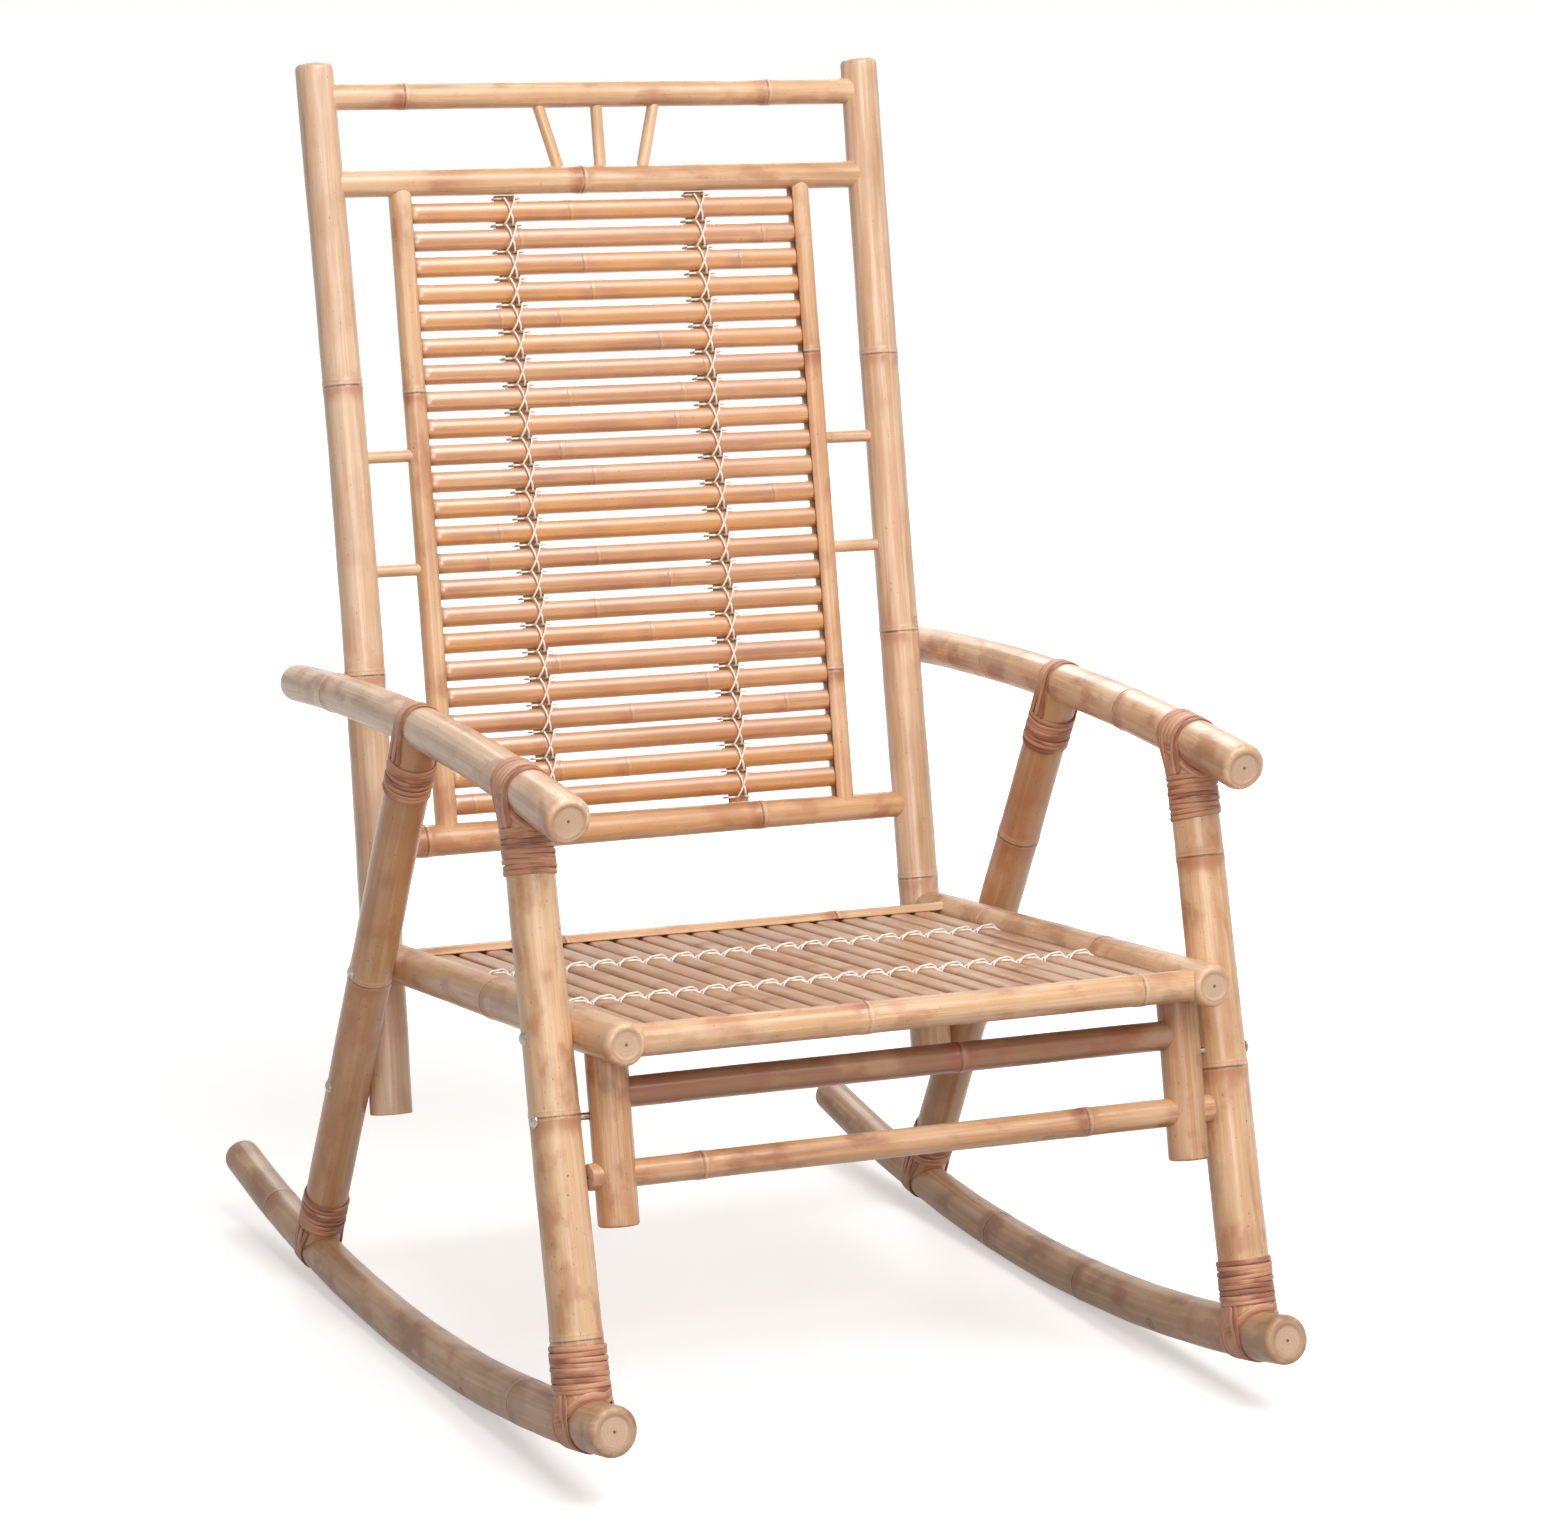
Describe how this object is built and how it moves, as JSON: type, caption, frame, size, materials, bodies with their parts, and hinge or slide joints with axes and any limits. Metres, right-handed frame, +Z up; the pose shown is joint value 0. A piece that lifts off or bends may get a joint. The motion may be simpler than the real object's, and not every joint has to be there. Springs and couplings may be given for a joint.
{
  "type": "bamboo rocking chair",
  "caption": "Rocking chair of bamboo culms: slatted seat and tall leaning back, arched arms and sloping legs bound with cane to two bow rockers.",
  "frame": {"origin": "on the floor, under the middle of the chair's outline", "axes": "+Z up, the chair faces -Y, +X towards the right as seen from in front of it"},
  "size_m": [0.6686, 0.8826, 1.0885],
  "materials": {
    "bamboo_post": "polished bamboo skin, pinkish tan with pale streaks and node rings",
    "bamboo_rocker": "duller bamboo skin, grey-brown with scuffs",
    "bamboo_arm": "handled bamboo skin, grey-beige, satin",
    "bamboo_leg": "mottled tan bamboo skin, satin",
    "bamboo_rail": "tan bamboo skin, satin",
    "bamboo_stretcher": "darker reddish-brown bamboo skin",
    "bamboo_back_slat": "glossy orange-brown split bamboo",
    "bamboo_seat_slat": "pinkish tan split bamboo, satin",
    "bamboo_batten": "plain split bamboo strip",
    "cane": "reddish-brown rattan cane, worn smooth",
    "cord": "cream twisted cotton cord",
    "bolt_steel": "dulled zinc-plated steel",
    "insert_brass": "plain brass"
  },
  "bodies": {
    "root": {"arm_front_binding_left": "cane", "arm_front_binding_right": "cane", "arm_left": "bamboo_arm", "arm_rear_binding_left": "cane", "arm_rear_binding_right": "cane", "arm_right": "bamboo_arm", "arm_straps": "cane", "back_batten_left": "bamboo_batten", "back_batten_right": "bamboo_batten", "back_lacing_left": "cord", "back_lacing_right": "cord", "back_post_left": "bamboo_post", "back_post_right": "bamboo_post", "back_slats": "bamboo_back_slat", "bolts": "bolt_steel", "fan_stick_left": "bamboo_rail", "fan_stick_middle": "bamboo_rail", "fan_stick_right": "bamboo_rail", "front_leg_left": "bamboo_leg", "front_leg_right": "bamboo_leg", "lower_back_rail": "bamboo_rail", "lower_spacer_left": "bamboo_rail", "lower_spacer_right": "bamboo_rail", "lower_stretcher": "bamboo_leg", "rear_leg_left": "bamboo_leg", "rear_leg_right": "bamboo_leg", "rocker_front_binding_left": "cane", "rocker_front_binding_right": "cane", "rocker_left": "bamboo_rocker", "rocker_rear_binding_left": "cane", "rocker_rear_binding_right": "cane", "rocker_right": "bamboo_rocker", "rocker_straps": "cane", "seat_batten_front": "bamboo_batten", "seat_batten_rear": "bamboo_batten", "seat_front_rail": "bamboo_rail", "seat_lacing_front": "cord", "seat_lacing_rear": "cord", "seat_rear_rail": "bamboo_rail", "seat_side_rail_left": "bamboo_leg", "seat_side_rail_right": "bamboo_leg", "seat_slats": "bamboo_seat_slat", "short_post_left": "bamboo_leg", "short_post_right": "bamboo_leg", "shoulder_rail": "bamboo_rail", "stile_left": "bamboo_rail", "stile_right": "bamboo_rail", "threaded_inserts": "insert_brass", "top_rail": "bamboo_rail", "upper_spacer_left": "bamboo_rail", "upper_spacer_right": "bamboo_rail", "upper_stretcher": "bamboo_stretcher"}
  },
  "joints": []
}
